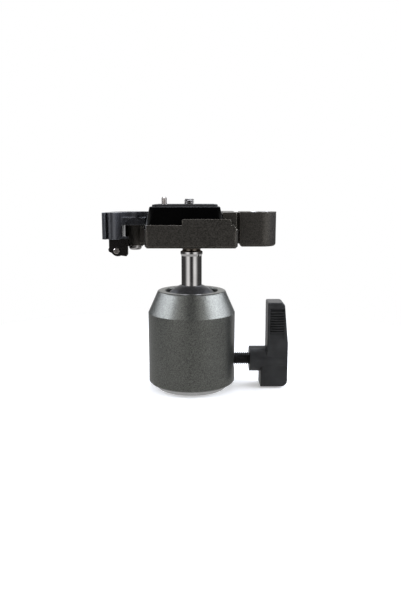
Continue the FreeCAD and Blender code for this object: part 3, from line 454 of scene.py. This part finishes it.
def make_world():
    """White for the camera, and a studio with a dark camera side for everything else."""
    world = bpy.data.worlds.new("studio")
    world.use_nodes = True
    tree = world.node_tree
    direction = tree.nodes.new("ShaderNodeTexCoord").outputs["Generated"]
    level = vector_node(tree, "MULTIPLY", direction, (1, 1, 0))["Vector"]
    level = vector_node(tree, "NORMALIZE", level)["Vector"]
    along = add(tree, "ShaderNodeSeparateXYZ", Vector=level).outputs["Y"]
    towards = spread(tree, along, 1.0, 0.0, -1.0, 1.0)
    room = tree.nodes["Background"]
    feed(tree, room.inputs["Color"], ramp(tree, towards, [(at, grey(part)) for at, part in ROOM]))
    feed(tree, room.inputs["Strength"], 1.0)
    white = add(tree, "ShaderNodeBackground", Color=(*WHITE, 1.0), Strength=1.0)
    seen, unseen = white.outputs["Background"], room.outputs["Background"]
    shown = mix_shaders(tree, seen_directly(tree), unseen, seen)
    tree.links.new(shown, tree.nodes["World Output"].inputs["Surface"])
    bpy.context.scene.world = world


# Meshes, with sizes in millimetres

SHARP_ANGLE = math.radians(35.0)
SAME_PLACE = 1e-6

# Distances in metres under which points are made one
ROD_WELD = 1e-7
JOIN_WELD = 2e-6
SLIVER = 1e-6


def box_mm(node):
    low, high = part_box(node)
    return Vector(low) / MM, Vector(high) / MM


def middle_x(node):
    low, high = box_mm(node)
    return (low.x + high.x) / 2


def loop_of(grid, points):
    return [grid.verts.new(Vector(point) * MM) for point in points]


def round_steps(spokes):
    return [2 * math.pi * k / spokes for k in range(spokes)]


def bridge(grid, low, high):
    """A band of faces between two closed loops."""
    for k in range(len(low)):
        n = (k + 1) % len(low)
        grid.faces.new((low[k], low[n], high[n], high[k]))


def skin(grid, loops):
    """Bands between neighbouring loops, with both ends closed."""
    for low, high in zip(loops, loops[1:]):
        bridge(grid, low, high)
    grid.faces.new(list(reversed(loops[0])))
    grid.faces.new(loops[-1])


def finish_mesh(name, grid):
    mesh = bpy.data.meshes.new(name)
    for face in grid.faces:
        face.smooth = True
    for edge in grid.edges:
        if len(edge.link_faces) == 2 and edge.calc_face_angle(0.0) > SHARP_ANGLE:
            edge.smooth = False
    grid.to_mesh(mesh)
    grid.free()
    return link(bpy.data.objects.new(name, mesh))


def stand_in(piece, node, materials):
    """The piece takes a node's place, body and finish."""
    piece.data.materials.append(finish_for(node, materials))
    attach(piece, BODY_OF[node])
    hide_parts(node)


def add_piece(piece, body, slot, materials):
    """A detail that the CAD solids leave out, carried by a body."""
    piece.data.materials.append(materials[slot])
    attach(piece, body)


# Turned pieces with real threads

TURNED_SPOKES = 72
ROWS_PER_TURN = 12
THREAD_CREST = 0.12
THREAD_FLANKS = 0.76

STUD_PITCH = 1.25
STUD_DEPTH = 0.72
STUD_THREADED = (8.0, 26.5)

# Outlines are places along the axis and steps in or out from a radius, which outline() adds
STUD_TIP = [(0.0, -1.8), (0.5, -1.3), (2.4, -1.3), (3.4, 0.0)]

SCREW_PITCH = 1.27
SCREW_DEPTH = 0.75
SCREW_RAD = 3.175
SCREW_NECK = -0.775
SCREW_HEAD = [(0.0, -0.6), (0.6, 0.0), (2.6, 0.0), (3.0, -0.4)]
SCREW_SHANK = [(3.0, 0.0), (5.0, 0.0), (5.8, SCREW_NECK)]
SCREW_RUN_OUT = [(-0.1, SCREW_NECK), (0.5, 0.0)]
SCREW_TIP = [(-0.7, 0.0), (0.0, -0.7)]

TRIPOD_PITCH = 1.5875
TRIPOD_SPAN = (0.6, 9.3)
TRIPOD_MAJOR = 4.76
TRIPOD_MINOR = 4.1
TRIPOD_OUTER = 4.95


def outline(points, start, rad):
    return [(start + place, rad + step) for place, step in points]


def profile_radius(profile, at):
    """Radius of an outline of (place, radius) points at a place along its axis."""
    for (start, low), (end, high) in zip(profile, profile[1:]):
        if start <= at <= end:
            return low + (high - low) * ((at - start) / (end - start) if end > start else 0)
    return profile[-1][1]


def thread_cut(at, angle, pitch, depth):
    """How far a 60 degree thread is cut in at a place, for a right-hand thread."""
    phase = (at / pitch - angle / (2 * math.pi)) % 1.0
    ridge = abs(2 * phase - 1)
    return depth * min(max((ridge - THREAD_CREST) / THREAD_FLANKS, 0.0), 1.0)


def thread_rows(start, end, pitch):
    count = int((end - start) / pitch * ROWS_PER_TURN)
    return [start + (end - start) * k / count for k in range(count + 1)]


def profile_rows(profile, thread):
    """The outline's own points, with a row for each step of the thread between them."""
    places = {place for place, _ in profile}
    if thread:
        places.update(thread_rows(*thread[:3]))
    rows = []
    for place in sorted(places):
        corners = [radius for at, radius in profile if abs(at - place) < SAME_PLACE]
        rows += [(place, radius) for radius in corners or [profile_radius(profile, place)]]
    return rows


def turned_rod(name, profile, thread=None, centre=(0, 0, 0), along_x=False):
    """A turned piece. Profile is (place, radius); thread is (start, end, pitch, depth, crest)."""
    grid = bmesh.new()
    loops = []
    for place, radius in profile_rows(profile, thread):
        points = []
        for angle in round_steps(TURNED_SPOKES):
            size = radius
            if thread and thread[0] <= place <= thread[1]:
                _, _, pitch, depth, crest = thread
                size = min(size, crest - thread_cut(place, angle, pitch, depth))
            x, y = size * math.cos(angle), size * math.sin(angle)
            spot = (place, x, y) if along_x else (x, y, place)
            points.append([a + b for a, b in zip(spot, centre)])
        loops.append(loop_of(grid, points))
    skin(grid, loops)
    bmesh.ops.remove_doubles(grid, verts=grid.verts, dist=ROD_WELD)
    bmesh.ops.recalc_face_normals(grid, faces=grid.faces)
    return finish_mesh(name, grid)


def flat_circle(radius, height):
    turns = round_steps(TURNED_SPOKES)
    return [(radius * math.cos(turn), radius * math.sin(turn), height) for turn in turns]


def internal_thread(name, low, high, major, minor, outer, pitch):
    """A thin sleeve with a thread on its inside."""
    grid = bmesh.new()
    loops = []
    for height in thread_rows(low, high, pitch):
        fade = min(1.0, (height - low) / pitch, (high - height) / pitch)
        depth = (major - minor) * fade
        points = []
        for angle in round_steps(TURNED_SPOKES):
            size = major - depth + thread_cut(height, angle, pitch, depth)
            points.append((size * math.cos(angle), size * math.sin(angle), height))
        loops.append(loop_of(grid, points))
    loops += [loop_of(grid, flat_circle(outer, height)) for height in (high, low)]
    for first, second in zip(loops, loops[1:] + loops[:1]):
        bridge(grid, first, second)
    bmesh.ops.recalc_face_normals(grid, faces=grid.faces)
    return finish_mesh(name, grid)


def locking_stud(materials):
    """M8 stud with a plain tip."""
    low, high = box_mm("locking_screw")
    rad = (high.z - low.z) / 2
    profile = outline(STUD_TIP, low.x, rad) + [(high.x, rad)]
    start, end = (low.x + place for place in STUD_THREADED)
    thread = (start, end, STUD_PITCH, STUD_DEPTH, rad)
    centre = (0, 0, (low.z + high.z) / 2)
    stud = turned_rod("stud", profile, thread, centre, along_x=True)
    stand_in(stud, "locking_screw", materials)


def camera_screw(materials):
    """Camera screw, 1/4 inch with 20 turns to the inch, under a flat round head."""
    low, high = box_mm("camera_screw")
    head = (high.x - low.x) / 2
    plate_top = box_mm("plate_body")[1].z
    run_out = outline(SCREW_RUN_OUT, plate_top, SCREW_RAD)
    profile = outline(SCREW_HEAD, low.z, head) + outline(SCREW_SHANK, low.z, SCREW_RAD)
    profile += run_out + outline(SCREW_TIP, high.z, SCREW_RAD)
    thread = (run_out[0][0], high.z, SCREW_PITCH, SCREW_DEPTH, SCREW_RAD)
    screw = turned_rod("camera_screw_thread", profile, thread, centre=(middle_x("camera_screw"), 0, 0))
    stand_in(screw, "camera_screw", materials)


def tripod_thread(materials):
    """Thread of 3/8 inch with 16 turns to the inch."""
    sleeve = internal_thread("tripod_thread", *TRIPOD_SPAN, TRIPOD_MAJOR, TRIPOD_MINOR,
                             TRIPOD_OUTER, TRIPOD_PITCH)
    add_piece(sleeve, "base", "plain_steel", materials)


# Lever

# Outline of the grip from above, from the lever's pivot in X and from the middle in Y
GRIP = [
    (-13.6, -14.5), (-13.3, -18.6), (-12.4, -20.2), (-10.4, -20.3), (-8.2, -19.4),
    (-6.6, -17.2), (-5.9, -13.5), (-6.2, -8.0), (-6.9, -1.0), (-9.5, 0.0), (-12.0, -7.0),
]
GRIP_LOW = 95.71
GRIP_TOP_GAP = 0.01
TIP_TO_PIVOT = 16.7
CORNER_ROUNDS = 3
CORNER_CUT = 0.25


def soften_outline(points):
    """Cuts the corners of a closed outline until it runs smooth."""
    for _ in range(CORNER_ROUNDS):
        cut = []
        for (x0, y0), (x1, y1) in zip(points, points[1:] + points[:1]):
            for share in (CORNER_CUT, 1 - CORNER_CUT):
                cut.append(((1 - share) * x0 + share * x1, (1 - share) * y0 + share * y1))
        points = cut
    return points


def prism(name, points, low, high):
    """An upright slab with a flat outline."""
    grid = bmesh.new()
    skin(grid, [loop_of(grid, [(x, y, z) for x, y in points]) for z in (low, high)])
    bmesh.ops.recalc_face_normals(grid, faces=grid.faces)
    return finish_mesh(name, grid)


def joined(name, first, second):
    """Both pieces as one closed mesh."""
    modifier = first.modifiers.new("join", "BOOLEAN")
    modifier.operation = "UNION"
    modifier.solver = "EXACT"
    modifier.object = second
    shown = first.evaluated_get(bpy.context.evaluated_depsgraph_get())
    mesh = bpy.data.meshes.new_from_object(shown)
    for thing in (first, second):
        bpy.data.objects.remove(thing)
    grid = bmesh.new()
    grid.from_mesh(mesh)
    bmesh.ops.remove_doubles(grid, verts=grid.verts, dist=JOIN_WELD)
    bmesh.ops.dissolve_degenerate(grid, edges=grid.edges, dist=SLIVER)
    return finish_mesh(name, grid)


def cast_lever(materials):
    """The lever with a full rounded grip beside its flared edge."""
    low, high = box_mm("lever")
    pivot_x = low.x + TIP_TO_PIVOT
    grip = soften_outline([(pivot_x + x, y) for x, y in GRIP])
    bar = prism("bar", grip, GRIP_LOW, high.z - GRIP_TOP_GAP)
    copy = link(bpy.data.objects.new("lever_copy", NODES["lever"].data.copy()))
    lever = joined("lever_cast", copy, bar)
    lever.data.materials.clear()
    stand_in(lever, "lever", materials)


# Bubble level

BUBBLE_RAD = 2.1
BUBBLE_FLATTEN = 0.3
BUBBLE_DEPTH = 0.95
RING_INNER = 2.7
RING_OUTER = 3.0
RING_TALL = 0.12
RING_RISE = 0.35


def level_details(materials):
    """The bubble under the level's dome and the ring that it is read against."""
    low, high = box_mm("level_vial")
    x, y, _ = (low + high) / 2
    bubble = bmesh.new()
    bmesh.ops.create_uvsphere(bubble, u_segments=32, v_segments=16, radius=BUBBLE_RAD * MM)
    bmesh.ops.scale(bubble, vec=(1, 1, BUBBLE_FLATTEN), verts=bubble.verts)
    place = Vector((x, y, high.z - BUBBLE_DEPTH)) * MM
    bmesh.ops.translate(bubble, vec=place, verts=bubble.verts)
    add_piece(finish_mesh("level_bubble", bubble), "head", "level_window", materials)
    profile = [
        (0, RING_INNER), (0, RING_OUTER), (RING_TALL, RING_OUTER), (RING_TALL, RING_INNER),
    ]
    ring = turned_rod("level_ring", profile, centre=(x, y, low.z + RING_RISE))
    add_piece(ring, "head", "black_nylon", materials)


# Ribs of the pad

PAD_PITCH = 1.5
PAD_MARGIN = 1.6
PAD_RIB_TALL = 0.14
PAD_RIB_SINK = 0.04
PAD_RIB_HALF = 0.42
PAD_RIB_SLOPE = 0.16
PAD_RIB_SHORTEST = 0.6
SCREW_CLEAR = 6.0
PIN_CLEAR = 3.4


def rib_spans(start, end, y, holes):
    """The parts of a rib that are left outside round holes of (x, radius)."""
    spans = [(start, end)]
    for x, rad in holes:
        if rad > abs(y):
            reach = math.sqrt(rad**2 - y**2)
            parts = [(a, min(b, x - reach)) for a, b in spans]
            parts += [(max(a, x + reach), b) for a, b in spans]
            spans = [(a, b) for a, b in parts if b - a > PAD_RIB_SHORTEST]
    return spans


def pad_rib(grid, start, end, y, low, high):
    """A rib with sloping sides and ends."""
    loops = []
    for z, inset in ((low, 0.0), (high, PAD_RIB_SLOPE)):
        half = PAD_RIB_HALF - inset
        left, right = start + inset, end - inset
        corners = ((left, y - half), (right, y - half), (right, y + half), (left, y + half))
        loops.append(loop_of(grid, [(a, b, z) for a, b in corners]))
    skin(grid, loops)


def pad_ribs(materials):
    """Low ribs moulded across the rubber pad, broken round the screw and the pin."""
    low, high = box_mm("plate_pad")
    holes = [(middle_x("camera_screw"), SCREW_CLEAR), (middle_x("video_pin"), PIN_CLEAR)]
    span = high.y - low.y - 2 * PAD_MARGIN
    count = int(span / PAD_PITCH)
    grid = bmesh.new()
    for k in range(count + 1):
        y = low.y + PAD_MARGIN + k * span / count
        for start, end in rib_spans(low.x + PAD_MARGIN, high.x - PAD_MARGIN, y, holes):
            pad_rib(grid, start, end, y, high.z - PAD_RIB_SINK, high.z + PAD_RIB_TALL)
    add_piece(finish_mesh("pad_ribs", grid), "head", "pad_rubber", materials)


# Ribs of the knob

# Sizes that the solid has: its hub, its wing, and how the wing's outer edge slopes
HUB_RAD = 8.15
WING_THICK = 13.1
WING_SLOPE = 2.4
WING_SLOPE_START = 3.0
WING_SLOPE_END = 2.6

# The crests, with their places from the knob's top, middle, left and right
RIB_COUNT = 9
RIB_PITCH = 1.62
RIB_PLACE = 7.25
RIB_RAD = 0.43
RIB_FIRST = 6.2
RIB_LEFT = 1.7
RIB_RIGHT = 0.25
BAR_SPOKES = 14
BAR_CAP_ROWS = 6


def rounded_bar(grid, start, end, y, z, rad):
    """A bar along X with round ends."""
    turns = [math.pi / 2 * k / BAR_CAP_ROWS for k in range(1, BAR_CAP_ROWS + 1)]
    rows = [(start + rad - rad * math.cos(turn), rad * math.sin(turn)) for turn in turns]
    rows += [(end - rad + rad * math.cos(turn), rad * math.sin(turn)) for turn in reversed(turns)]
    loops = []
    for x, size in rows:
        angles = round_steps(BAR_SPOKES)
        points = [(x, y + size * math.cos(a), z + size * math.sin(a)) for a in angles]
        loops.append(loop_of(grid, points))
    for first, second in zip(loops, loops[1:]):
        bridge(grid, first, second)
    tips = loop_of(grid, [(start, y, z), (end, y, z)])
    for tip, loop in zip(tips, (loops[0], loops[-1])):
        for k in range(BAR_SPOKES):
            grid.faces.new((tip, loop[k], loop[(k + 1) % BAR_SPOKES]))


def knob_ribs(materials):
    """Round crests on the knob's grip ribs, whose ends run out over the wing's outer edge."""
    high = box_mm("knob")[1]
    screw_low, screw_high = box_mm("locking_screw")
    slope_low = (screw_low.z + screw_high.z) / 2 + HUB_RAD + WING_SLOPE_START
    slope_top = high.z - WING_SLOPE_END
    left = high.x - WING_THICK + RIB_LEFT
    grid = bmesh.new()
    for number in range(RIB_COUNT):
        z = high.z - RIB_FIRST - RIB_PITCH * number
        edge = high.x - WING_SLOPE * (z - slope_low) / (slope_top - slope_low)
        for y in (-RIB_PLACE, RIB_PLACE):
            rounded_bar(grid, left, edge - RIB_RIGHT, y, z, RIB_RAD)
    bmesh.ops.recalc_face_normals(grid, faces=grid.faces)
    add_piece(finish_mesh("knob_rib_crests", grid), "knob", "knob_plastic", materials)


make_camera()
materials = make_materials()
dress_nodes(materials)
locking_stud(materials)
camera_screw(materials)
tripod_thread(materials)
cast_lever(materials)
level_details(materials)
pad_ribs(materials)
knob_ribs(materials)
make_floor()
make_lights()
make_world()
bpy.context.scene.view_settings.view_transform = "Standard"
